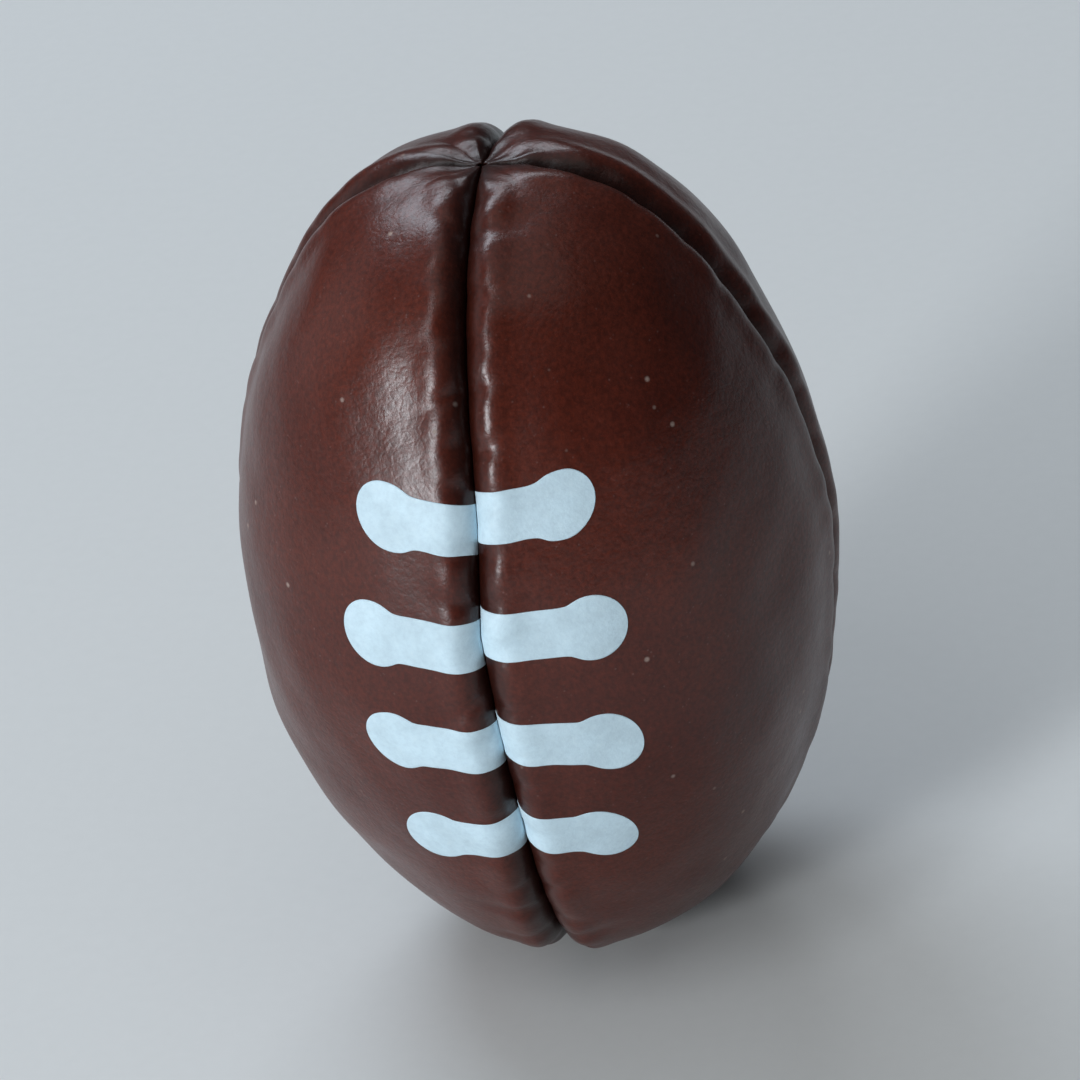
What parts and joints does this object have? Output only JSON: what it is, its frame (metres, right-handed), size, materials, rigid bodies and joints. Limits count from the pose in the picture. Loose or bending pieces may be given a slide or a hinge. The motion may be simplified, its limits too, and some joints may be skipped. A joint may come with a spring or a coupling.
{
  "type": "rugby ball",
  "caption": "Small stuffed oval rugby ball with sewn leather-look panels, turned-in seams and printed lace marks across one seam.",
  "frame": {"origin": "centre of the ball", "axes": "+Z along the ball's long axis to its upper tip; the laced front seam faces -Y and the other seams face +X, +Y and -X"},
  "size_m": [0.039, 0.0391, 0.058],
  "materials": {
    "skin": "satin",
    "thread": "matte",
    "filling": "matte",
    "lace_print": "satin"
  },
  "bodies": {
    "root": {"panel_front_right": "skin", "panel_back_right": "skin", "panel_back_left": "skin", "panel_front_left": "skin", "front_seam_needle_thread": "thread", "front_seam_bobbin_thread": "thread", "right_seam_needle_thread": "thread", "right_seam_bobbin_thread": "thread", "back_seam_needle_thread": "thread", "back_seam_bobbin_thread": "thread", "left_seam_needle_thread": "thread", "left_seam_bobbin_thread": "thread", "closing_stitch": "thread", "fibre_filling": "filling", "lace_mark_1_left": "lace_print", "lace_mark_1_right": "lace_print", "lace_mark_2_left": "lace_print", "lace_mark_2_right": "lace_print", "lace_mark_3_left": "lace_print", "lace_mark_3_right": "lace_print", "lace_mark_4_left": "lace_print", "lace_mark_4_right": "lace_print"}
  },
  "joints": []
}
